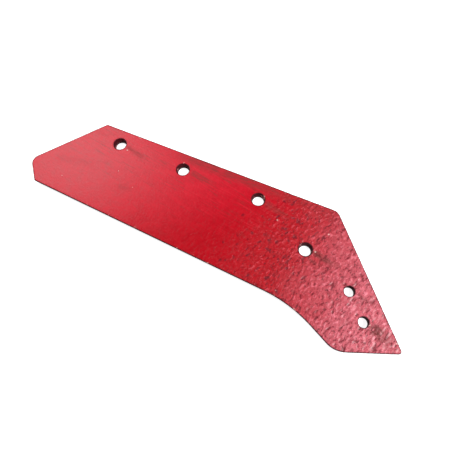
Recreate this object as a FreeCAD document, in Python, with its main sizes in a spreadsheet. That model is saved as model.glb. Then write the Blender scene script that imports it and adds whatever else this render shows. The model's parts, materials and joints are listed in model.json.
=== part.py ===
"""Right-hand plough share: one forged plate with a bevelled cutting edge and six bolt holes.

The plate lies on its flat back.  +X runs along the cutting edge towards the nose, +Y runs from
the cutting edge to the joint edge that meets the mouldboard, and +Z is the face that the soil
slides over.  The finished share is centred over the origin, with its back at Z = 0.
"""
import FreeCAD, Part
import os
import re

import Sketcher
from FreeCAD import Vector

SIZES = {
    # outline in mm, from the outer end of the cutting edge round to the landside and back
    "cutting_edge_length": 376.0,
    "toe_run": 68.0,
    "toe_drop": 29.0,
    "nose_run": 71.0,
    "nose_height": 3.0,
    "landside_run": 131.5,
    "heel_height": 135.5,
    "shoulder_reach": 43.0,
    "shoulder_height": 118.0,
    "wing_setback": 23.5,
    "wing_height": 25.5,
    # radii of its corners in mm
    "edge_end_radius": 2.0,
    "throat_radius": 170.0,
    "toe_radius": 30.0,
    "nose_radius": 3.5,
    "heel_radius": 12.0,
    "shoulder_radius": 3.0,
    "wing_radius": 12.0,
    # the plate and its cutting edge in mm
    "plate_thickness": 10.0,
    "edge_land": 2.5,
    "bevel_width": 18.0,
    "face_round": 0.8,
    # four frog bolts with slim conical heads: mm, and the cone's included angle in degrees
    "frog_bore": 15.0,
    "frog_seat_flare": 2.6,
    "frog_seat_angle": 30.0,
    # three of them in a row under the joint edge, the first one in from the shoulder
    "frog_row_start": 33.0,
    "frog_pitch_1_2": 98.0,
    "frog_pitch_2_3": 110.0,
    "frog_inset_1": 21.2,
    "frog_inset_2": 23.2,
    "frog_inset_3": 24.4,
    # the fourth one, back and down from the heel
    "frog_heel_setback": 17.5,
    "frog_heel_drop": 65.5,
    # two bolts that hold the separate point, back and up from the nose, in mm
    "point_bore": 13.0,
    "point_setback_1": 81.0,
    "point_rise_1": 41.5,
    "point_setback_2": 53.0,
    "point_rise_2": 14.5,
}

# Places along X, worked out from the sizes.
TOE = "(cutting_edge_length + toe_run)"
NOSE = f"({TOE} + nose_run)"
HEEL = f"({NOSE} - landside_run)"
FROG_1 = "(shoulder_reach + frog_row_start)"
FROG_2 = f"({FROG_1} + frog_pitch_1_2)"
FROG_3 = f"({FROG_2} + frog_pitch_2_3)"

# Corners of the closed outline, anticlockwise: name, place along X, place along Y, radius.
OUTLINE = [
    ("edge_end", "0", "0", "edge_end_radius"),
    ("throat", "cutting_edge_length", "0", "throat_radius"),
    ("toe", TOE, "-toe_drop", "toe_radius"),
    ("nose", NOSE, "nose_height", "nose_radius"),
    ("heel", HEEL, "heel_height", "heel_radius"),
    ("shoulder", "shoulder_reach", "shoulder_height", "shoulder_radius"),
    ("wing", "-wing_setback", "wing_height", "wing_radius"),
]

# Run of the underside bevel: the lower edges, begun clear of the wing and ended past the nose.
BEVEL_START = "-wing_setback - wing_radius"
BEVEL_RUN = [
    ("start", BEVEL_START, "0", None),
    ("throat", "cutting_edge_length", "0", "throat_radius"),
    ("toe", TOE, "-toe_drop", "toe_radius"),
    ("finish", f"{NOSE} + nose_run", "2 * nose_height + toe_drop", None),
]

# Section of the bevel cut, across the edge and up.  Its slope passes through the lower rim of
# the edge land and through the back face at the bevel's width, and overshoots both a little.
BEVEL_SECTION = [
    ("high", "-0.2 * bevel_width", "1.2 * (plate_thickness - edge_land)", None),
    ("low", "-0.2 * bevel_width", "-0.1 * (plate_thickness - edge_land)", None),
    ("far", "1.1 * bevel_width", "-0.1 * (plate_thickness - edge_land)", None),
]



def below_joint_edge(along, inset):
    """Return the height that lies an inset below the joint edge, at a place along X."""
    slope = f"(heel_height - shoulder_height) / ({HEEL} - shoulder_reach)"
    return f"shoulder_height + {slope} * ({along} - shoulder_reach) - {inset}"


# Bolt holes: name, place along X, place along Y.
FROG_BOLTS = [
    ("frog_bolt_1", FROG_1, below_joint_edge(FROG_1, "frog_inset_1")),
    ("frog_bolt_2", FROG_2, below_joint_edge(FROG_2, "frog_inset_2")),
    ("frog_bolt_3", FROG_3, below_joint_edge(FROG_3, "frog_inset_3")),
    ("frog_bolt_4", f"{HEEL} - frog_heel_setback", "heel_height - frog_heel_drop"),
]
POINT_BOLTS = [
    ("point_bolt_1", f"{NOSE} - point_setback_1", "nose_height + point_rise_1"),
    ("point_bolt_2", f"{NOSE} - point_setback_2", "nose_height + point_rise_2"),
]

SKETCH_ORIGIN = -1
START, END, CENTRE = 1, 2, 3
FLAT = 1e-3


def add_sheet(doc):
    """Put every driving size in a spreadsheet, one alias a row."""
    sheet = doc.addObject("Spreadsheet::Sheet", "sizes")
    for row, (alias, value) in enumerate(SIZES.items(), start=1):
        sheet.set(f"A{row}", alias)
        sheet.set(f"B{row}", str(value))
        sheet.setAlias(f"B{row}", alias)
    doc.recompute()
    return sheet


def in_sheet(formula):
    """Point each size that a formula names at its cell in the sheet."""
    return re.sub(r"([a-z]\w*)", r"sizes.\1", formula)


def worked_out(owner, formula):
    """Return what a formula comes to, so that geometry starts where it belongs."""
    return float(owner.evalExpression(in_sheet(formula)))


def bind(sketch, name, kind, *where, formula):
    """Add a named dimension to a sketch and tie it to a formula in the sheet's sizes."""
    dimension = Sketcher.Constraint(kind, *where, worked_out(sketch, formula))
    sketch.renameConstraint(sketch.addConstraint(dimension), name)
    sketch.setExpression(f"Constraints.{name}", in_sheet(formula))


def pin(sketch, name, geometry, end, along, across):
    """Hold one point of a sketch at its two distances from the sketch's origin."""
    bind(sketch, f"{name}_along", "DistanceX", SKETCH_ORIGIN, START, geometry, end, formula=along)
    bind(sketch, f"{name}_across", "DistanceY", SKETCH_ORIGIN, START, geometry, end, formula=across)


def add_sketch(body, name, role="XY_Plane"):
    """Add an empty sketch on one of the body's own origin planes."""
    sketch = body.newObject("Sketcher::SketchObject", name)
    plane = next(item for item in body.Origin.OriginFeatures if item.Role == role)
    sketch.AttachmentSupport = [(plane, "")]
    sketch.MapMode = "FlatFace"
    return sketch


def draw_run(sketch, corners, closed=True):
    """Draw straight sides through the corners, then round each corner that has a radius."""
    places = [Vector(worked_out(sketch, x), worked_out(sketch, y), 0) for _, x, y, _ in corners]
    onward = places[1:] + places[:1] if closed else places[1:]
    sides = [sketch.addGeometry(Part.LineSegment(*pair)) for pair in zip(places, onward)]
    for i, (name, along, across, _) in enumerate(corners):
        if i < len(sides):
            pin(sketch, name, sides[i], START, along, across)
        else:
            pin(sketch, name, sides[i - 1], END, along, across)
        if i < len(sides) and (closed or i > 0):
            meet = Sketcher.Constraint("Coincident", sides[i - 1], END, sides[i], START)
            sketch.addConstraint(meet)
    for i, (name, _, _, radius) in enumerate(corners):
        if radius:
            round_corner(sketch, name, sides[i - 1], sides[i], radius)


def round_corner(sketch, name, side_in, side_out, radius):
    """Round the corner between two sides, keeping the sharp corner as the dimensioned point."""
    middles = [(sketch.Geometry[side].StartPoint + sketch.Geometry[side].EndPoint) / 2
               for side in (side_in, side_out)]
    sketch.fillet(side_in, side_out, *middles, worked_out(sketch, radius), True, True)
    arc = sketch.GeometryCount - 2
    bind(sketch, f"{name}_radius", "Radius", arc, formula=radius)


def add_plate(body):
    """Pad the share's outline to the thickness of the plate."""
    sketch = add_sketch(body, "outline")
    draw_run(sketch, OUTLINE)
    plate = body.newObject("PartDesign::Pad", "plate")
    plate.Profile = sketch
    plate.setExpression("Length", in_sheet("plate_thickness"))
    return plate


def add_bevel(body):
    """Sweep the bevel's section along the lower edges and cut it from the back of the plate."""
    run = add_sketch(body, "bevel_run")
    draw_run(run, BEVEL_RUN, closed=False)
    section = add_sketch(body, "bevel_section", "YZ_Plane")
    section.setExpression("AttachmentOffset.Base.z", in_sheet(BEVEL_START))
    draw_run(section, BEVEL_SECTION)
    bevel = body.newObject("PartDesign::SubtractivePipe", "bevel")
    bevel.Profile = section
    bevel.Spine = (run, [])
    return bevel


def add_holes(body, name, bolts, bore):
    """Drill one bore through the plate at each of the named bolts, from the front face."""
    sketch = add_sketch(body, f"{name}_places")
    sketch.setExpression("AttachmentOffset.Base.z", in_sheet("plate_thickness"))
    for bolt, along, across in bolts:
        centre = Vector(worked_out(sketch, along), worked_out(sketch, across), 0)
        circle = Part.Circle(centre, Vector(0, 0, 1), worked_out(sketch, bore) / 2)
        rim = sketch.addGeometry(circle)
        pin(sketch, bolt, rim, CENTRE, along, across)
        bind(sketch, f"{bolt}_bore", "Diameter", rim, formula=bore)
    body.Document.recompute()
    holes = body.newObject("PartDesign::Hole", name)
    holes.Profile = sketch
    holes.Threaded = False
    holes.DepthType = "ThroughAll"
    holes.setExpression("Diameter", in_sheet(bore))
    return holes


def seat_bolt_heads(holes, mouth, cone_angle):
    """Open the front end of the holes into the cones that the bolt heads sink into."""
    holes.HoleCutType = "Countersink"
    holes.HoleCutCustomValues = True
    holes.setExpression("HoleCutDiameter", in_sheet(mouth))
    holes.setExpression("HoleCutCountersinkAngle", in_sheet(cone_angle))


def round_face(body):
    """Soften the rim of the front face all the way round the outline."""
    drilled = body.Tip
    top = worked_out(body, "plate_thickness")
    front = next(face for face in drilled.Shape.Faces if abs(face.BoundBox.ZMin - top) < FLAT)
    rim = front.OuterWire.Edges
    names = [f"Edge{i}" for i, edge in enumerate(drilled.Shape.Edges, start=1)
             if any(edge.isSame(side) for side in rim)]
    softened = body.newObject("PartDesign::Fillet", "face_round")
    softened.Base = (drilled, names)
    softened.setExpression("Radius", in_sheet("face_round"))


def build_share(doc):
    """Make the share from its plate, bevel, bolt holes and softened rim, in working order."""
    body = doc.addObject("PartDesign::Body", "share_blade")
    body.Label = "share_blade"
    add_plate(body)
    doc.recompute()
    add_bevel(body)
    doc.recompute()
    frog_holes = add_holes(body, "frog_holes", FROG_BOLTS, "frog_bore")
    seat_bolt_heads(frog_holes, "frog_bore + frog_seat_flare", "frog_seat_angle")
    doc.recompute()
    add_holes(body, "point_holes", POINT_BOLTS, "point_bore")
    doc.recompute()
    round_face(body)
    doc.recompute()
    return body


def centre_over_origin(body):
    """Set the body down with the middle of its back's bounding box on the origin."""
    box = body.Shape.optimalBoundingBox(False, False)
    body.Placement.Base = Vector(-box.Center.x, -box.Center.y, -box.ZMin)
    body.Document.recompute()


def check(doc, body):
    """Stop unless every object is sound and each cut has taken material away."""
    for item in doc.Objects:
        if {"Invalid", "Error"} & set(item.State):
            raise RuntimeError(f"{item.Label} failed: {item.State}")
    solid = body.Shape
    if solid.isNull() or not solid.isValid() or len(solid.Solids) != 1:
        raise RuntimeError(f"{body.Label} is not one valid solid")
    features = [item for item in body.Group if item.isDerivedFrom("PartDesign::Feature")]
    for before, after in zip(features, features[1:]):
        if after.Shape.Volume >= before.Shape.Volume:
            raise RuntimeError(f"{after.Label} removed nothing")


def main():
    os.makedirs("parts", exist_ok=True)
    doc = FreeCAD.newDocument("plough_share")
    add_sheet(doc)
    body = build_share(doc)
    centre_over_origin(body)
    check(doc, body)
    body.Shape.exportStep(f"parts/{body.Label}.step")
    box = body.Shape.optimalBoundingBox(False, False)
    print(f"{body.Label}: {box.XLength:.1f} x {box.YLength:.1f} x {box.ZLength:.1f} mm,"
          f" {body.Shape.Volume / 1000:.1f} cm3")


main()
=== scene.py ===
"""Plough share: the dressed share, one red enamelled plate with a hammered point end.

The share lies on its flat back as packed: +X runs along the cutting edge towards the nose,
+Y towards the joint edge, and +Z is the face that the soil slides over.  Sizes are in metres.
"""
import json
from math import ceil, cos, log2, pi, radians, sin, tan

import bmesh
import bpy
from mathutils import Matrix, Vector, kdtree, noise


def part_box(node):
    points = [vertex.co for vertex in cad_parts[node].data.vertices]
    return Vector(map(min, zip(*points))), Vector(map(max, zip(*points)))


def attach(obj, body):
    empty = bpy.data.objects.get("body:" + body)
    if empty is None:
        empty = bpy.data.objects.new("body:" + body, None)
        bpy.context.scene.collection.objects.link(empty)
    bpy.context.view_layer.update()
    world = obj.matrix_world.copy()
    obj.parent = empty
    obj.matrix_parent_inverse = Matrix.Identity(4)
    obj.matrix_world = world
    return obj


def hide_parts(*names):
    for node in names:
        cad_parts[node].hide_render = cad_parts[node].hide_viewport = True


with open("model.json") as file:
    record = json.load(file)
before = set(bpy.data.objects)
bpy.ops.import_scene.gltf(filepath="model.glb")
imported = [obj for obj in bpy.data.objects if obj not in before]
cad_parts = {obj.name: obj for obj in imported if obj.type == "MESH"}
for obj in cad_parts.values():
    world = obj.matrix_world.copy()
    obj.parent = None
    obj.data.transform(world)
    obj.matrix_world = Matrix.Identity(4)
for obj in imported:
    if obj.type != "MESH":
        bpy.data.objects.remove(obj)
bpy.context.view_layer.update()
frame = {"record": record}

bl_info = {
    "name": "Plough Share",
    "version": (1, 0, 0),
    "blender": (4, 5, 0),
    "location": "View3D > Sidebar > Share",
    "description": "Models a red enamelled plough share and its studio stage",
    "category": "Object",
}

RECORD = frame["record"]
MM = 0.001
WHITE = (1.0, 1.0, 1.0, 1.0)

# Closer than SAME, two points are one, and closer than ON_LEVEL, a point lies on a level.
# A cut's points that lie closer together than MERGE are merged.
SAME = 1e-7
ON_LEVEL = 1e-6
MERGE = 2e-6
ARC_STEP = radians(4)
SHARP_EDGE = radians(38)
# Faces that lean further down than this belong to the back.
BACK_FACING = -0.3
# Wear at a rim fades out over this width of the face.
RIM_FADE = 3.0 * MM

# The hammered pebbles are drawn out along a line at this angle to the cutting edge.
HAMMER_TURN = radians(70)
PEBBLE_STRETCH = 1.6
MEAN_HEIGHT = 0.62


def length(name, description, millimetres):
    """Return a length property whose default is given in millimetres."""
    return bpy.props.FloatProperty(name=name, description=description, default=millimetres * MM,
                                   precision=5, unit="LENGTH", subtype="DISTANCE")


def colour(name, description, default):
    """Return a linear colour property."""
    return bpy.props.FloatVectorProperty(name=name, description=description, size=3, min=0.0,
                                         max=1.0, default=default, subtype="COLOR")


def amount(name, description, default):
    """Return a property for how strongly one finish covers another, from none to all."""
    return bpy.props.FloatProperty(name=name, description=description, default=default, min=0.0,
                                   max=1.0, subtype="FACTOR")


class ShareSizes(bpy.types.PropertyGroup):
    """Sizes of the share's plate."""

    cutting_edge: length("Cutting edge", "Straight run from the edge's outer end", 376.0)
    toe_run: length("Toe run", "From the throat's corner to the toe's", 68.0)
    toe_drop: length("Toe drop", "How far the toe hangs below the cutting edge", 29.0)
    nose_run: length("Nose run", "From the toe's corner to the nose's", 71.0)
    nose_height: length("Nose height", "How far the nose stands above the cutting edge", 3.0)
    landside_run: length("Landside run", "From the nose back to the heel", 131.5)
    heel_height: length("Heel height", "From the cutting edge to the heel", 135.5)
    shoulder_reach: length("Shoulder reach", "From the edge's end in to the shoulder", 43.0)
    shoulder_height: length("Shoulder height", "From the cutting edge to the shoulder", 118.0)
    wing_setback: length("Wing setback", "How far the wing reaches past the edge's end", 23.5)
    wing_height: length("Wing height", "From the cutting edge to the wing's corner", 25.5)
    edge_end_radius: length("Edge end radius", "Rounding where the cutting edge ends", 2.0)
    throat_radius: length("Throat radius", "Hollow curve ahead of the toe", 170.0)
    toe_radius: length("Toe radius", "Rounding of the toe", 30.0)
    nose_radius: length("Nose radius", "Rounding of the nose", 3.5)
    heel_radius: length("Heel radius", "Rounding of the heel", 12.0)
    shoulder_radius: length("Shoulder radius", "Rounding of the shoulder", 3.0)
    wing_radius: length("Wing radius", "Rounding of the wing", 12.0)
    thickness: length("Thickness", "Thickness of the plate", 10.0)
    edge_land: length("Edge land", "Height of the blunt land along the cutting edge", 2.5)
    bevel_width: length("Bevel width", "Width of the bevel under the cutting edge", 18.0)
    face_round: length("Face rounding", "Rounding of the front face's rim", 0.8)
    back_round: length("Back rounding", "Rounding of the back's rim", 0.5)
    seat_mouth: length("Seat mouth", "Radius of a frog bolt's conical seat at the face", 8.8)
    lip_round: length("Lip rounding", "Rounding of the bolt holes' lips", 0.45)
    mesh_pitch: length("Mesh pitch", "Spacing of the cuts that carry the face's relief", 1.15)
    back_pitch: length("Back pitch", "Spacing of the cuts across the back", 3.0)


def outline_corners(sizes):
    """List the outline's sharp corners anticlockwise from the edge's end, with their radii."""
    toe = sizes.cutting_edge + sizes.toe_run
    nose = toe + sizes.nose_run
    heel = nose - sizes.landside_run
    return [
        (Vector((0, 0, 0)), sizes.edge_end_radius),
        (Vector((sizes.cutting_edge, 0, 0)), sizes.throat_radius),
        (Vector((toe, -sizes.toe_drop, 0)), sizes.toe_radius),
        (Vector((nose, sizes.nose_height, 0)), sizes.nose_radius),
        (Vector((heel, sizes.heel_height, 0)), sizes.heel_radius),
        (Vector((sizes.shoulder_reach, sizes.shoulder_height, 0)), sizes.shoulder_radius),
        (Vector((-sizes.wing_setback, sizes.wing_height, 0)), sizes.wing_radius),
    ]


def corner_turns(corners):
    """Return each corner's arc: where it starts, its centre and its signed angle."""
    turns = []
    for i, (corner, radius) in enumerate(corners):
        back = (corners[i - 1][0] - corner).normalized()
        onward = (corners[(i + 1) % len(corners)][0] - corner).normalized()
        half = back.angle(onward) / 2
        start = corner + back * (radius / tan(half))
        centre = corner + (back + onward).normalized() * (radius / sin(half))
        side = 1 if onward.cross(back).z > 0 else -1
        turns.append((start, centre, side * (pi - 2 * half)))
    return turns


def arc_steps(angle):
    """Return how many straight steps a turn needs."""
    return max(3, ceil(abs(angle) / ARC_STEP))


def once(items):
    """List items without their repeats, in an order that is the same each run."""
    return list(dict.fromkeys(items))


def draw_on(bm, ends, shift):
    """Extrude loose edges by a shift, and return the new ones."""
    grown = bmesh.ops.extrude_edge_only(bm, edges=ends)["geom"]
    verts = [g for g in grown if isinstance(g, bmesh.types.BMVert)]
    bmesh.ops.translate(bm, verts=verts, vec=shift)
    return [g for g in grown if isinstance(g, bmesh.types.BMEdge)
            and all(v in verts for v in g.verts)]


def trace_outline(bm, turns):
    """Draw the closed outline with one vertex as a pen: straight runs, then a spin each corner."""
    first = pen = bm.verts.new(turns[0][0])
    for start, centre, angle in turns:
        if (start - pen.co).length > SAME:
            pen = bmesh.ops.extrude_vert_indiv(bm, verts=[pen])["verts"][0]
            pen.co = start
        spun = bmesh.ops.spin(bm, geom=[pen], cent=centre, axis=(0, 0, 1), angle=angle,
                              steps=arc_steps(angle))
        pen = next(g for g in spun["geom_last"] if isinstance(g, bmesh.types.BMVert))
    bm.edges.new((pen, first))


def plate_blank(sizes, turns):
    """Return the plate as rolled: the outline filled, thickened and softened at both rims."""
    bm = bmesh.new()
    trace_outline(bm, turns)
    back = bmesh.ops.contextual_create(bm, geom=bm.edges[:])["faces"]
    raised = bmesh.ops.extrude_face_region(bm, geom=back, use_keep_orig=True)["geom"]
    top = [g for g in raised if isinstance(g, bmesh.types.BMVert)]
    bmesh.ops.translate(bm, verts=top, vec=(0, 0, sizes.thickness))
    bmesh.ops.recalc_face_normals(bm, faces=bm.faces)
    for level, width, segments in ((sizes.thickness, sizes.face_round, 3),
                                   (0.0, sizes.back_round, 2)):
        rim = [e for e in bm.edges if all(abs(v.co.z - level) < ON_LEVEL for v in e.verts)]
        bmesh.ops.bevel(bm, geom=rim, offset=width, offset_type="OFFSET", segments=segments,
                        profile=0.5, affect="EDGES", material=-1, clamp_overlap=False)
    return bm


def bevel_wedge(sizes, turns):
    """Return the wedge that is ground away under the cutting edge, throat and toe."""
    rise = sizes.thickness - sizes.edge_land
    wedge_start = -sizes.wing_setback - sizes.wing_radius
    bm = bmesh.new()
    # The slope runs from the land's top to the back's level, and a little past both.
    corners = [bm.verts.new((wedge_start, y * sizes.bevel_width, z * rise))
               for y, z in ((-0.2, 1.2), (-0.2, -0.1), (1.1, -0.1))]
    ring = [bm.edges.new((corners[i - 1], corners[i])) for i in range(3)]
    at = Vector((corners[0].co.x, 0, 0))
    for start, centre, angle in turns[1:3]:
        ring = draw_on(bm, ring, start - at)
        spun = bmesh.ops.spin(bm, geom=ring + once(v for e in ring for v in e.verts),
                              cent=centre, axis=(0, 0, 1), angle=angle,
                              steps=arc_steps(angle))
        ring = [g for g in spun["geom_last"] if isinstance(g, bmesh.types.BMEdge)]
        at = centre + Matrix.Rotation(angle, 3, "Z") @ (start - centre)
    draw_on(bm, ring, (turns[3][0] - at) * 2)
    bmesh.ops.holes_fill(bm, edges=bm.edges[:], sides=0)
    bmesh.ops.recalc_face_normals(bm, faces=bm.faces)
    return bm


def hole_tool(place, bore, mouth, seat_depth, thickness):
    """Return the drill for one bolt hole: a profile spun about the hole's axis."""
    over = thickness / 2
    slope = (mouth - bore) / seat_depth if seat_depth else 0.0
    profile = [(0, -over), (bore, -over), (bore, thickness - seat_depth),
               (mouth + slope * over, thickness + over), (0, thickness + over)]
    bm = bmesh.new()
    points = [bm.verts.new((place.x + r, place.y, z)) for r, z in profile]
    edges = [bm.edges.new(pair) for pair in zip(points, points[1:])]
    bmesh.ops.spin(bm, geom=points + edges, cent=(place.x, place.y, 0), axis=(0, 0, 1),
                   angle=2 * pi, steps=64, use_merge=True)
    bmesh.ops.remove_doubles(bm, verts=bm.verts, dist=SAME)
    bmesh.ops.recalc_face_normals(bm, faces=bm.faces)
    return bm


def temporary(bm, name):
    """Put a bmesh on a scene object for a moment."""
    mesh = bpy.data.meshes.new(name)
    bm.to_mesh(mesh)
    bm.free()
    holder = bpy.data.objects.new(name, mesh)
    bpy.context.scene.collection.objects.link(holder)
    return holder


def cut_away(bm, tools):
    """Take each tool's shape out of the solid, and return the solid."""
    work = temporary(bm, "work")
    cutters = [temporary(tool, "cutter") for tool in tools]
    for cutter in cutters:
        cut = work.modifiers.new("cut", "BOOLEAN")
        cut.operation = "DIFFERENCE"
        cut.solver = "EXACT"
        cut.object = cutter
    bpy.context.view_layer.update()
    depsgraph = bpy.context.evaluated_depsgraph_get()
    done = bpy.data.meshes.new_from_object(work.evaluated_get(depsgraph))
    result = bmesh.new()
    result.from_mesh(done)
    for holder in cutters + [work]:
        mesh = holder.data
        bpy.data.objects.remove(holder)
        bpy.data.meshes.remove(mesh)
    bpy.data.meshes.remove(done)
    bmesh.ops.remove_doubles(result, verts=result.verts, dist=MERGE)
    bmesh.ops.dissolve_degenerate(result, edges=result.edges, dist=MERGE)
    if not result.faces:
        raise RuntimeError("a cut left nothing of the share")
    return result


def slice_up(bm, faces, axis, low, high, halvings):
    """Cut faces into strips across an axis by halving their span again and again."""
    if not halvings or not faces:
        return faces
    middle = (low + high) / 2
    normal = Vector((0, 0, 0))
    normal[axis] = 1.0
    geom = once(e for f in faces for e in f.edges) + faces
    geom += once(v for f in faces for v in f.verts)
    cut = bmesh.ops.bisect_plane(bm, geom=geom, dist=ON_LEVEL, plane_no=normal,
                                 plane_co=normal * middle)
    pieces = [g for g in cut["geom"] if isinstance(g, bmesh.types.BMFace)]
    below = [f for f in pieces if f.calc_center_median()[axis] < middle]
    above = [f for f in pieces if f.calc_center_median()[axis] >= middle]
    return (slice_up(bm, below, axis, low, middle, halvings - 1)
            + slice_up(bm, above, axis, middle, high, halvings - 1))


def ramp(value, low, high):
    """Ease from nought at low to one at high."""
    t = min(1.0, max(0.0, (value - low) / (high - low)))
    return t * t * (3 - 2 * t)


def swelling(x, y, sheet, spacing):
    """Return smooth noise between -1 and 1 of a given spacing, from one of its sheets."""
    return noise.noise(Vector((x, y, sheet)) / spacing)


def forged_relief(x, y, forging):
    """Return a place's depth under the face's highest level, and its height in the relief."""
    rough = ramp(x - 0.45 * y, -0.05, 0.06) * (0.8 + 0.2 * ramp(x, 0.0, 0.10))
    along = (x * cos(HAMMER_TURN) + y * sin(HAMMER_TURN)) / PEBBLE_STRETCH
    across = -x * sin(HAMMER_TURN) + y * cos(HAMMER_TURN)
    size = forging.pebble_size
    along += 0.5 * size * swelling(x, y, 0.5, 2.5 * size)
    across += 0.5 * size * swelling(x, y, 4.5, 2.5 * size)
    pebble = swelling(along, across, 0.11, size)
    fine = swelling(along, across, 0.37, 0.6 * size)
    swell = swelling(x, y, 0.7, 0.02)
    pit = ramp(swelling(along, across, 0.9, 1.5 * size), 0.3, 0.6)
    high = MEAN_HEIGHT + 0.42 * pebble + 0.32 * fine + 0.12 * swell - 0.35 * pit
    depth = forging.relief_depth * rough * (1 - high)
    wave = swelling(x, y, 1.9, 0.045) + 0.5 * swelling(x, y, 2.9, 0.018)
    depth += forging.wave_depth * (0.75 + 0.5 * wave)
    return max(0.0, depth), 0.5 + (min(1.0, max(0.0, high)) - MEAN_HEIGHT) * rough


class ForgingLook(bpy.types.PropertyGroup):
    """How rough the share came from the hammer."""

    relief_depth: length("Relief depth", "Depth of the hammered relief at the point", 1.15)
    pebble_size: length("Pebble size", "Size of the relief's pebbles", 3.7)
    wave_depth: length("Wave depth", "Depth of the faint waves over the whole face", 0.05)


def hole_places():
    """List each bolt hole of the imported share: name, centre, bore radius and straight depth."""
    holes = []
    for mount in RECORD["mounts"]:
        if mount["kind"] == "bore":
            x, y, _ = mount["pos_m"]
            dims = mount["dims"]
            holes.append((mount["name"], Vector((x, y, 0)), dims["r_mm"] * MM,
                          dims["length_mm"] * MM))
    return holes


def soften_lips(bm, sizes, places, level):
    """Round the lips where the bolt holes break through one face of the plate."""
    rims = []
    for e in bm.edges:
        steep = any(abs(f.normal.z) < 0.9 for f in e.link_faces)
        if steep and all(abs(v.co.z - level) < ON_LEVEL for v in e.verts):
            middle = (e.verts[0].co + e.verts[1].co) / 2
            middle.z = 0
            if any((middle - place).length < sizes.seat_mouth + 0.2 * MM
                   for _, place, _, _ in places):
                rims.append(e)
    bmesh.ops.bevel(bm, geom=rims, offset=sizes.lip_round, offset_type="OFFSET", segments=3,
                    profile=0.5, affect="EDGES", material=-1, clamp_overlap=False)


def mark_and_forge(bm, sizes, forging):
    """Sink the hammered relief into the face, and note each place's wear and height in it."""
    rim = bm.verts.layers.float.new("rim")
    level = bm.verts.layers.float.new("relief")
    face_level = sizes.thickness - 1e-5
    rounding_level = face_level - sizes.face_round
    walls = [v for v in bm.verts if v.co.z <= face_level]
    lips = [v for v in walls if v.co.z > rounding_level]
    nearest = kdtree.KDTree(len(lips))
    for i, v in enumerate(lips):
        nearest.insert((v.co.x, v.co.y, 0), i)
    nearest.balance()
    for v in walls:
        v[rim] = 1.0
        v[level] = 0.5
    for v in bm.verts:
        if v.co.z > face_level:
            away = nearest.find((v.co.x, v.co.y, 0))[2]
            v[rim] = 0.9 * (1 - ramp(away, 0.0, RIM_FADE))
    for v in bm.verts:
        if v.co.z > rounding_level:
            depth, v[level] = forged_relief(v.co.x, v.co.y, forging)
            v.co.z -= depth


def drills(sizes, places):
    """Return a drill for each bolt hole; a frog bolt's has a conical seat at the face."""
    tools = []
    for name, place, bore, straight in places:
        seated = name.startswith("frog")
        mouth = sizes.seat_mouth if seated else bore
        seat_depth = sizes.thickness - straight if seated else 0.0
        tools.append(hole_tool(place, bore, mouth, seat_depth, sizes.thickness))
    return tools


def cut_for_relief(bm, sizes, low, high):
    """Cut the back coarsely and the rest finely, so that the face can carry its relief."""
    fine = sizes.mesh_pitch * 1
    coarse = sizes.back_pitch * 1
    bm.normal_update()
    back = [f for f in bm.faces if f.normal.z < BACK_FACING]
    front = [f for f in bm.faces if f.normal.z >= BACK_FACING]
    for faces, pitch in ((back, coarse), (front, fine)):
        for axis in (0, 1):
            halvings = round(log2((high[axis] - low[axis]) / pitch))
            faces = slice_up(bm, faces, axis, low[axis], high[axis], halvings)


class SHARE_OT_plate(bpy.types.Operator):
    """Model the share: an enamelled plate with its bevel, bolt holes and forged relief"""

    bl_idname = "share.plate"
    bl_label = "Enamelled Plate"

    def execute(self, context):
        sizes = context.scene.share_sizes
        turns = corner_turns(outline_corners(sizes))
        bm = cut_away(plate_blank(sizes, turns), [bevel_wedge(sizes, turns)])
        low = Vector([min(v.co[i] for v in bm.verts) for i in range(3)])
        cad_low, cad_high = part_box("share_blade")
        bmesh.ops.translate(bm, verts=bm.verts, vec=cad_low - low)
        places = hole_places()
        bm = cut_away(bm, drills(sizes, places))
        soften_lips(bm, sizes, places, sizes.thickness)
        soften_lips(bm, sizes, places, 0.0)
        cut_for_relief(bm, sizes, cad_low, cad_high)
        mark_and_forge(bm, sizes, context.scene.share_forging)
        for v in bm.verts:
            v.co = [min(max(v.co[i], cad_low[i]), cad_high[i]) for i in range(3)]
        for f in bm.faces:
            f.smooth = True
        for e in bm.edges:
            if len(e.link_faces) == 2 and e.calc_face_angle(0) > SHARP_EDGE:
                e.smooth = False
        mesh = bpy.data.meshes.new("share_enamel_plate")
        bm.to_mesh(mesh)
        bm.free()
        piece = bpy.data.objects.new("share_enamel_plate", mesh)
        context.scene.collection.objects.link(piece)
        mesh.materials.append(red_enamel(context))
        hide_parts("share_blade")
        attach(piece, "root")
        return {"FINISHED"}


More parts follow.
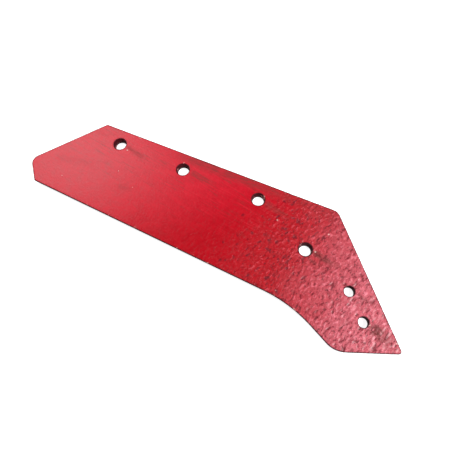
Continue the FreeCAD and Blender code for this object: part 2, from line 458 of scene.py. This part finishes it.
class Nodes:
    """A small bench for wiring one node tree."""

    def __init__(self, tree):
        self.tree = tree

    def add(self, kind, **settings):
        """Add a node and set it up."""
        node = self.tree.nodes.new(kind)
        for key, value in settings.items():
            setattr(node, key, value)
        return node

    def feed(self, socket, value):
        """Link a socket's value into another, or write a plain value on it."""
        if isinstance(value, bpy.types.NodeSocket):
            self.tree.links.new(value, socket)
        elif value is not None:
            socket.default_value = value

    def maths(self, operation, a, b=None, clamp=False):
        """Work out one step of arithmetic."""
        node = self.add("ShaderNodeMath", operation=operation, use_clamp=clamp)
        self.feed(node.inputs[0], a)
        if b is not None:
            self.feed(node.inputs[1], b)
        return node.outputs[0]

    def times(self, a, b):
        """Multiply two values."""
        return self.maths("MULTIPLY", a, b)

    def rest(self, value):
        """Return what a value leaves of one."""
        return self.maths("SUBTRACT", 1.0, value)

    def span(self, value, low, high, to_low=0.0, to_high=1.0, kind="SMOOTHSTEP"):
        """Ease a value from one pair of limits onto another."""
        node = self.add("ShaderNodeMapRange", interpolation_type=kind)
        for name, number in (("Value", value), ("From Min", low), ("From Max", high),
                             ("To Min", to_low), ("To Max", to_high)):
            self.feed(node.inputs[name], number)
        return node.outputs[0]

    def mix(self, factor, a, b, blend="MIX"):
        """Mix two colours, on the mix node's colour sockets."""
        node = self.add("ShaderNodeMix", data_type="RGBA", blend_type=blend)
        self.feed(node.inputs[0], factor)
        self.feed(node.inputs[6], rgba(a))
        self.feed(node.inputs[7], rgba(b))
        return node.outputs[2]

    def cover(self, under, over, mask, strength):
        """Lay one colour over another where a mask is, at a strength."""
        return self.mix(self.times(mask, strength), under, over)

    def noise(self, place, scale, detail=2.0, roughness=0.5, distortion=0.0):
        """Return cloudy noise of a scale, in swells to the metre."""
        node = self.add("ShaderNodeTexNoise")
        for name, number in (("Vector", place), ("Scale", scale), ("Detail", detail),
                             ("Roughness", roughness), ("Distortion", distortion)):
            self.feed(node.inputs[name], number)
        return node.outputs["Fac"]

    def mapping(self, place, location=(0, 0, 0), turn=0.0, scale=(1, 1, 1)):
        """Centre, turn and stretch the place that a pattern is read at."""
        node = self.add("ShaderNodeMapping", vector_type="TEXTURE")
        self.feed(node.inputs["Vector"], place)
        self.feed(node.inputs["Location"], location)
        self.feed(node.inputs["Rotation"], (0, 0, turn))
        self.feed(node.inputs["Scale"], scale)
        return node.outputs[0]

    def group(self, tree, **values):
        """Place a node group and fill in its named inputs."""
        node = self.add("ShaderNodeGroup", node_tree=tree)
        for name, value in values.items():
            self.feed(node.inputs[name.replace("_", " ").capitalize()], value)
        return node.outputs


def rgba(value):
    """Give a written colour its fourth number."""
    return value if isinstance(value, bpy.types.NodeSocket) else (*value[:3], 1.0)


def new_group(name, inputs, outputs):
    """Start a shader node group with named sockets, and return it with its two ends."""
    tree = bpy.data.node_groups.new(name, "ShaderNodeTree")
    for label, kind in inputs:
        tree.interface.new_socket(name=label, in_out="INPUT", socket_type=f"NodeSocket{kind}")
    for label, kind in outputs:
        tree.interface.new_socket(name=label, in_out="OUTPUT", socket_type=f"NodeSocket{kind}")
    bench = Nodes(tree)
    return bench, bench.add("NodeGroupInput").outputs, bench.add("NodeGroupOutput").inputs


def smear_group():
    """Build the mask of one ragged smear drawn out behind a bolt hole."""
    bench, given, put = new_group(
        "drawn_smear", [("Place", "Vector"), ("Length", "Float"), ("Width", "Float"),
                        ("Ragged", "Float")], [("Mask", "Float")])
    size = bench.add("ShaderNodeSeparateXYZ")
    bench.feed(size.inputs[0], given["Place"])
    along = bench.maths("DIVIDE", size.outputs[0], given["Length"])
    across = bench.maths("DIVIDE", size.outputs[1], given["Width"])
    start = bench.span(along, -0.05, 0.12)
    end = bench.span(along, 0.25, 1.0, 1.0, 0.0)
    flank = bench.span(bench.maths("ABSOLUTE", across), 0.2, 1.0, 1.0, 0.0)
    body = bench.maths("MULTIPLY", bench.maths("MULTIPLY", start, end), flank)
    grain = bench.noise(bench.mapping(given["Place"], scale=(0.012, 0.003, 0.01)), 1.0, 3.0, 0.6)
    torn = bench.span(grain, 0.35, 0.65)
    torn = bench.maths("ADD", bench.maths("MULTIPLY", torn, given["Ragged"]),
                       bench.maths("SUBTRACT", 1.0, given["Ragged"]))
    bench.feed(put["Mask"], bench.maths("MULTIPLY", body, torn, clamp=True))
    return bench.tree


def fleck_group():
    """Build the mask of small scattered flecks."""
    bench, given, put = new_group(
        "scattered_flecks", [("Place", "Vector"), ("Spacing", "Float"), ("Amount", "Float")],
        [("Mask", "Float")])
    cells = bench.add("ShaderNodeTexVoronoi", feature="F1")
    place = bench.add("ShaderNodeVectorMath", operation="DIVIDE")
    bench.feed(place.inputs[0], given["Place"])
    spacing = bench.add("ShaderNodeCombineXYZ")
    for socket in spacing.inputs:
        bench.feed(socket, given["Spacing"])
    bench.feed(place.inputs[1], spacing.outputs[0])
    bench.feed(cells.inputs["Vector"], place.outputs[0])
    bench.feed(cells.inputs["Scale"], 1.0)
    pick = bench.add("ShaderNodeSeparateColor")
    bench.feed(pick.inputs[0], cells.outputs["Color"])
    chosen = bench.maths("LESS_THAN", pick.outputs[0], given["Amount"])
    reach = bench.span(pick.outputs[1], 0.0, 1.0, 0.08, 0.2, "LINEAR")
    near = bench.maths("LESS_THAN", cells.outputs["Distance"], reach)
    bench.feed(put["Mask"], bench.maths("MULTIPLY", chosen, near))
    return bench.tree


class EnamelLook(bpy.types.PropertyGroup):
    """Colours of the share's enamel, of what has marked it, and of the light and shade painted on
    it.
    """

    deep: colour("Deep red", "Enamel at the middle of the share", (0.44, 0.0, 0.007))
    # The wing's brighter red is painted light, where the wing's lamp falls.
    bright: colour("Bright red", "Enamel towards the wing", (0.58, 0.002, 0.016))
    # Brushed red is both the brush's real ridges in the paint and the painted highlight on the
    # hammered relief's ridges.
    brushed_and_highlight: colour("Brushed red", "Ridges that the brush left in the paint", (0.66, 0.02, 0.035))
    # The pale film at both ends is a painted sheen, standing in for the lamps' reflection.
    painted_sheen: colour("Chalk", "Film of chalked paint at both ends", (0.85, 0.38, 0.48))
    # This colour also paints the shade under the joint edge.
    grime_and_shade: colour("Grime", "Soil rubbed into the paint behind the holes", (0.13, 0.035, 0.03))
    bare: colour("Bare edge", "Dark steel that shows at the rims", (0.022, 0.006, 0.009))
    # The pits' dark is painted shade in the hammered relief's hollows.
    pit: colour("Pit", "Depth of the hammered pits", (0.16, 0.004, 0.012))
    fleck: colour("Fleck", "Pale flecks where the paint is chipped", (0.8, 0.5, 0.45))
    # These two set how strongly the painted sheen covers the wing and the nose.
    wing_sheen: amount("Chalk at the wing", "How strongly chalk covers the wing", 0.03)
    nose_sheen: amount("Chalk at the nose", "How strongly chalk covers the nose", 0.24)
    mottling: amount("Mottling", "How strongly the paint is mottled", 0.2)
    brush_light: amount("Light brush marks", "How strongly the brush's ridges show", 0.6)
    brush_dark: amount("Dark brush marks", "How strongly soil shows in the brush's grooves", 0.38)
    # This sets the painted shade in the relief's hollows.
    hollow_shade: amount("Dark hollows", "How strongly the relief's hollows darken", 0.82)
    # This sets the painted highlight on the relief's crests.
    crest_highlight: amount("Bright crests", "How strongly the relief's crests brighten", 0.6)
    knock_cover: amount("Knocks", "How strongly chips show along the rims", 0.55)
    fleck_cover: amount("Flecks", "How strongly the scattered flecks show", 0.7)
    rim_wear: amount("Rim wear", "How strongly the rims are worn to bare steel", 0.9)


# Noise scales, in swells to the metre.
CLOUD_SCALE = 22.0
MOTTLE_SCALE = 140.0
KNOCK_SCALE = 130.0
GRIT_SCALE = 290.0
PEEL_SCALE = 420.0
# Mottling multiplies the enamel by a tone between these two.
MOTTLE_DARK = (0.55, 0.5, 0.5)
MOTTLE_LIGHT = (1.25, 1.3, 1.3)
# Brush marks run along the share, a little turned; their length, width and depth in metres.
BRUSH_TURN = radians(-6)
BRUSH_MARK = (0.030, 0.0022, 0.01)
GRIT_STRETCH = (1.7, 1.0, 1.0)
# Flecks: one cell of this size (m) in so many holds a fleck.
FLECK_SPACING = 0.006
FLECK_SHARE = 0.03

# Smears of dirt behind the holes, painted shade under the joint edge, dark grooves at the point,
# and then streaks of brighter paint: name, start (m), turn (degrees), length and half width (m),
# strength.
SMEARS = [
    ("wing_smudge", (-0.240, -0.012), 14, 0.090, 0.0090, 0.12),
    ("shoulder_smudge", (-0.212, 0.046), 14, 0.045, 0.0060, 0.14),
    ("mid_scratches", (-0.140, -0.014), 22, 0.034, 0.0060, 0.22),
    ("behind_frog_bolt_1", (-0.161, 0.045), -10, 0.048, 0.0045, 0.55),
    ("behind_frog_bolt_2", (-0.062, 0.048), -3, 0.050, 0.0060, 0.55),
    # Painted shade: a darker strip under the joint edge.
    ("shade_under_joint_edge", (-0.090, 0.067), 2, 0.300, 0.0140, 0.6),
    ("point_grooves", (0.226, -0.037), -24, 0.040, 0.0110, 0.95),
    ("behind_frog_bolt_3", (0.046, 0.052), -12, 0.050, 0.0060, 0.55),
    ("behind_frog_bolt_4", (0.127, 0.017), -8, 0.050, 0.0060, 0.95),
    ("below_frog_bolt_4", (0.125, 0.007), -12, 0.030, 0.0035, 0.6),
    ("behind_point_bolt_1", (0.195, -0.010), -5, 0.035, 0.0040, 0.6),
    ("behind_point_bolt_2", (0.222, -0.038), -18, 0.040, 0.0060, 0.8),
]
STREAKS = [
    ("beside_frog_bolt_1", (-0.164, 0.037), -7, 0.045, 0.0030, 0.6),
    ("before_frog_bolt_2", (-0.110, 0.028), 15, 0.050, 0.0040, 0.4),
    ("beside_frog_bolt_2", (-0.050, 0.055), -5, 0.060, 0.0030, 0.35),
]


def slanted(bench, x, y, slant):
    """Return how far along the share a place is, counted from a line that slants across it."""
    return bench.maths("SUBTRACT", x, bench.times(y, slant))


def strongest_mark(bench, smear, place, marks, ragged):
    """Return the mask of whichever of these marks is strongest at each place."""
    strongest = None
    for _, start, turn, long, wide, strength in marks:
        local = bench.mapping(place, location=(*start, 0), turn=radians(turn))
        mask = bench.group(smear, place=local, length=long, width=wide, ragged=ragged)["Mask"]
        mask = bench.times(mask, strength)
        strongest = mask if strongest is None else bench.maths("MAXIMUM", strongest, mask)
    return strongest


def red_enamel(context):
    """Make the share's red enamel: deep red with painted light at the wing and a painted sheen at
    both ends, soiled, with painted shade in its pits and under the joint edge, painted highlights
    on its ridges, and chipped.
    """
    look = context.scene.share_enamel
    material = bpy.data.materials.new("red_enamel")
    material.use_nodes = True
    bench = Nodes(material.node_tree)
    shader = bench.tree.nodes["Principled BSDF"]
    place = bench.add("ShaderNodeTexCoord").outputs["Object"]
    xyz = bench.add("ShaderNodeSeparateXYZ")
    bench.feed(xyz.inputs[0], place)
    x, y = xyz.outputs[0], xyz.outputs[1]
    relief = bench.add("ShaderNodeAttribute", attribute_name="relief").outputs["Fac"]
    rim = bench.add("ShaderNodeAttribute", attribute_name="rim").outputs["Fac"]

    # Zones: deep red at the middle, made brighter towards the wing by painted light, and a painted
    # sheen at both ends.
    cloud = bench.noise(place, CLOUD_SCALE, 3.0, 0.6)
    drift = bench.times(bench.maths("SUBTRACT", cloud, 0.5), 0.06)
    along = bench.maths("ADD", x, drift)
    lean = slanted(bench, x, y, 1.2)
    wing = bench.span(bench.maths("ADD", lean, drift), 0.03, -0.19)
    nose = bench.span(along, 0.085, 0.215)
    tone = bench.mix(bench.span(lean, 0.05, -0.10), look.deep, look.bright)
    # Painted sheen over both ends, standing in for the lamps' reflection.
    tone = bench.cover(tone, look.painted_sheen, wing, look.wing_sheen)
    tone = bench.cover(tone, look.painted_sheen, nose, look.nose_sheen)

    # Mottling of the paint.
    mottle = bench.noise(place, MOTTLE_SCALE, 4.0, 0.65)
    mottled = bench.mix(bench.span(mottle, 0.3, 0.7), MOTTLE_DARK, MOTTLE_LIGHT)
    tone = bench.mix(look.mottling, tone, mottled, "MULTIPLY")

    # Brush marks drawn along the share, strongest towards the joint edge.
    drawn = bench.mapping(place, turn=BRUSH_TURN, scale=BRUSH_MARK)
    brush = bench.noise(drawn, 1.0, 3.0, 0.6, 0.2)
    brush_zone = bench.times(bench.span(y, -0.03, 0.03, 0.25, 1.0),
                             bench.span(x, 0.16, 0.02, 0.2, 1.0))
    light = bench.times(bench.span(brush, 0.52, 0.75), brush_zone)
    tone = bench.cover(tone, look.brushed_and_highlight, light, look.brush_light)
    dark = bench.times(bench.span(brush, 0.48, 0.28), brush_zone)
    tone = bench.cover(tone, look.grime_and_shade, dark, look.brush_dark)

    # Smears of dirt behind the bolt holes, painted shade under the joint edge, dark grooves at the
    # point, and streaks of brighter paint.
    smear = smear_group()
    # The dirt smears' mask, which also carries the painted shade under the joint edge.
    soil_and_shade = strongest_mark(bench, smear, place, SMEARS, 0.6)
    tone = bench.mix(soil_and_shade, tone, look.grime_and_shade)
    shine = strongest_mark(bench, smear, place, STREAKS, 0.7)
    tone = bench.mix(shine, tone, look.brushed_and_highlight)

    # Hammered finish: painted shade in the hollows, painted highlights on the crests, and a paler
    # painted glint on the crests near the nose.
    turned = bench.mapping(place, turn=HAMMER_TURN, scale=GRIT_STRETCH)
    grit_zone = bench.span(slanted(bench, x, y, 0.25), -0.02, 0.12)
    grit = bench.noise(turned, GRIT_SCALE, 2.5, 0.6, 0.3)
    height = bench.times(bench.maths("SUBTRACT", grit, 0.5), grit_zone)
    height = bench.maths("ADD", height, 0.5)
    # Painted shade: the relief's low places and the grit's hollows darkened.
    shade_in_hollows = bench.maths("MAXIMUM", bench.span(relief, 0.36, 0.1),
                         bench.span(height, 0.45, 0.32))
    tone = bench.cover(tone, look.pit, shade_in_hollows, look.hollow_shade)
    # Painted highlight: the grit's crests lightened, paler towards the nose.
    highlit_crest = bench.span(height, 0.56, 0.66)
    tone = bench.cover(tone, look.brushed_and_highlight, highlit_crest, look.crest_highlight)
    crest_glint = bench.maths("ADD", 0.08, bench.times(nose, 0.28))
    tone = bench.cover(tone, look.painted_sheen, highlit_crest, crest_glint)

    # Knocks along the rims, and flecks of missing paint.
    edge = bench.span(rim, 0.02, 0.75)
    chips = bench.span(bench.noise(place, KNOCK_SCALE, 2.0, 0.7), 0.62, 0.68)
    knocks = bench.times(chips, edge)
    tone = bench.cover(tone, look.fleck, knocks, look.knock_cover)
    flecks = bench.group(fleck_group(), place=place, spacing=FLECK_SPACING,
                         amount=FLECK_SHARE)["Mask"]
    tone = bench.cover(tone, look.fleck, flecks, look.fleck_cover)

    # Rims worn dark, except where they are knocked.
    worn = bench.times(bench.span(rim, 0.55, 1.0), bench.rest(bench.times(knocks, 0.8)))
    tone = bench.cover(tone, look.bare, worn, look.rim_wear)
    bench.feed(shader.inputs["Base Color"], tone)

    # Gloss: even paint, duller under the dirt smears and the painted shade, with a glaze at both
    # ends.
    paint = bench.span(mottle, 0.3, 0.7, 0.32, 0.42)
    bench.feed(shader.inputs["Roughness"], bench.maths("ADD", paint, bench.times(soil_and_shade, 0.3)))
    bench.feed(shader.inputs["Specular IOR Level"], 0.15)
    glaze = bench.maths("MAXIMUM", bench.times(wing, 0.2),
                        bench.span(along, 0.03, 0.15, 0.0, 0.5))
    glaze = bench.times(bench.times(glaze, bench.rest(soil_and_shade)), bench.rest(rim))
    bench.feed(shader.inputs["Coat Weight"], glaze)
    bench.feed(shader.inputs["Coat Roughness"], 0.33)

    # Fine relief: the hammered grit and the paint's orange peel.
    peel = bench.noise(place, PEEL_SCALE, 3.0, 0.55)
    bump = bench.add("ShaderNodeBump")
    bench.feed(bump.inputs["Height"], bench.maths("ADD", bench.times(peel, 0.1), height))
    bench.feed(bump.inputs["Strength"], 1.0)
    bench.feed(bump.inputs["Distance"], 0.004)
    bench.feed(shader.inputs["Normal"], bump.outputs[0])
    return material


class StageLook(bpy.types.PropertyGroup):
    """The studio round the share."""

    ground: colour("Ground", "Colour of the floor", (0.86, 0.86, 0.86))
    world_light: bpy.props.FloatProperty(name="Room light", description="Strength of the room's "
                                         "even light", default=0.27, min=0.0, max=2.0)


FLOOR_HALF = 6.0
# The floor's glow for the camera alone, which lifts it to white outside the shadow.
FLOOR_GLOW = 0.85
# Each lamp stands by its own end of the share: name, place, aim and size (m), power (W).
LAMPS = [
    ("wing_softbox", (-0.60, 0.20, 0.57), (-0.20, 0.0, 0.0), 0.4, 3.5),
    ("nose_softbox", (0.67, 0.09, 0.60), (0.16, 0.0, 0.0), 0.3, 7.6),
]
CAMERA_PLACE = (0.12077, -0.16619, 0.52331)
CAMERA_AIM = (0.0220055, -0.0022661, 0.010)
CAMERA_ROLL = radians(-4.7427)
CAMERA_LENS = 33.80
CAMERA_SENSOR = 36.0


def white_ground(name, tint):
    """Make the floor's pale finish, which the camera sees as clean white outside the shadow."""
    material = bpy.data.materials.new(name)
    material.use_nodes = True
    bench = Nodes(material.node_tree)
    bench.tree.nodes.clear()
    diffuse = bench.add("ShaderNodeBsdfDiffuse")
    bench.feed(diffuse.inputs["Color"], rgba(tint))
    glow = bench.add("ShaderNodeEmission")
    path = bench.add("ShaderNodeLightPath")
    bench.feed(glow.inputs["Strength"], bench.times(path.outputs["Is Camera Ray"], FLOOR_GLOW))
    both = bench.add("ShaderNodeAddShader")
    bench.feed(both.inputs[0], diffuse.outputs[0])
    bench.feed(both.inputs[1], glow.outputs[0])
    bench.feed(bench.add("ShaderNodeOutputMaterial").inputs["Surface"], both.outputs[0])
    return material


def lay_floor(context, tint):
    """Lay the floor under the share."""
    mesh = bpy.data.meshes.new("floor")
    bm = bmesh.new()
    bmesh.ops.create_grid(bm, x_segments=1, y_segments=1, size=FLOOR_HALF)
    bm.to_mesh(mesh)
    bm.free()
    floor = bpy.data.objects.new("floor", mesh)
    context.scene.collection.objects.link(floor)
    mesh.materials.append(white_ground("white_ground", tint))


def light_room(context, strength):
    """Light the room evenly, and show it to the camera as plain white."""
    world = bpy.data.worlds.new("room")
    context.scene.world = world
    world.use_nodes = True
    bench = Nodes(world.node_tree)
    bench.tree.nodes.clear()
    pick = bench.add("ShaderNodeMixShader")
    bench.feed(pick.inputs[0], bench.add("ShaderNodeLightPath").outputs["Is Camera Ray"])
    for socket, level in ((pick.inputs[1], strength), (pick.inputs[2], 1.0)):
        light = bench.add("ShaderNodeBackground")
        bench.feed(light.inputs["Color"], WHITE)
        bench.feed(light.inputs["Strength"], level)
        bench.feed(socket, light.outputs[0])
    bench.feed(bench.add("ShaderNodeOutputWorld").inputs["Surface"], pick.outputs[0])


def hang_lamp(context, name, place, aim, size, watts):
    """Hang one square soft lamp and turn it to its aim."""
    light = bpy.data.lights.new(name, "AREA")
    light.shape = "SQUARE"
    light.size = size
    light.energy = watts
    holder = bpy.data.objects.new(name, light)
    context.scene.collection.objects.link(holder)
    holder.location = place
    holder.rotation_euler = (Vector(aim) - Vector(place)).to_track_quat("-Z", "Y").to_euler()


def stand_camera(context):
    """Stand the camera over the share's front edge, a little rolled."""
    camera = bpy.data.cameras.new("camera")
    camera.sensor_width = CAMERA_SENSOR
    camera.lens = CAMERA_LENS
    camera.clip_start = 0.01
    holder = bpy.data.objects.new("camera", camera)
    context.scene.collection.objects.link(holder)
    holder.location = CAMERA_PLACE
    view = (Vector(CAMERA_AIM) - holder.location).to_track_quat("-Z", "Y")
    roll = Matrix.Rotation(CAMERA_ROLL, 4, "Z")
    holder.rotation_euler = (view.to_matrix().to_4x4() @ roll).to_euler()
    context.scene.camera = holder


class SHARE_OT_stage(bpy.types.Operator):
    """Set the stage: a white floor, a soft room light, soft lamps and the camera"""

    bl_idname = "share.stage"
    bl_label = "Studio Stage"

    def execute(self, context):
        look = context.scene.share_stage
        lay_floor(context, look.ground)
        light_room(context, look.world_light)
        for lamp in LAMPS:
            hang_lamp(context, *lamp)
        stand_camera(context)
        context.scene.view_settings.view_transform = "Standard"
        return {"FINISHED"}


class SHARE_PT_tools(bpy.types.Panel):
    """Lists the share's settings and the operators that build it"""

    bl_idname = "SHARE_PT_tools"
    bl_label = "Plough Share"
    bl_space_type = "VIEW_3D"
    bl_region_type = "UI"
    bl_category = "Share"

    def draw(self, context):
        layout = self.layout
        layout.operator(SHARE_OT_plate.bl_idname)
        layout.operator(SHARE_OT_stage.bl_idname)
        for name, group in SETTINGS.items():
            box = layout.box()
            box.label(text=name.replace("_", " ").capitalize())
            for setting in group.__annotations__:
                box.prop(getattr(context.scene, name), setting)


CLASSES = (ShareSizes, ForgingLook, EnamelLook, StageLook, SHARE_OT_plate, SHARE_OT_stage,
           SHARE_PT_tools)
SETTINGS = {"share_sizes": ShareSizes, "share_forging": ForgingLook, "share_enamel": EnamelLook,
            "share_stage": StageLook}


def register():
    """Register the share's classes and hang its settings on the scene."""
    for cls in CLASSES:
        bpy.utils.register_class(cls)
    for name, group in SETTINGS.items():
        setattr(bpy.types.Scene, name, bpy.props.PointerProperty(type=group))


def unregister():
    """Take the share's settings and classes away again."""
    for name in SETTINGS:
        delattr(bpy.types.Scene, name)
    for cls in reversed(CLASSES):
        bpy.utils.unregister_class(cls)


def main():
    """Build the share and its stage."""
    register()
    bpy.ops.share.plate()
    bpy.ops.share.stage()


if __name__ == "__main__":
    main()
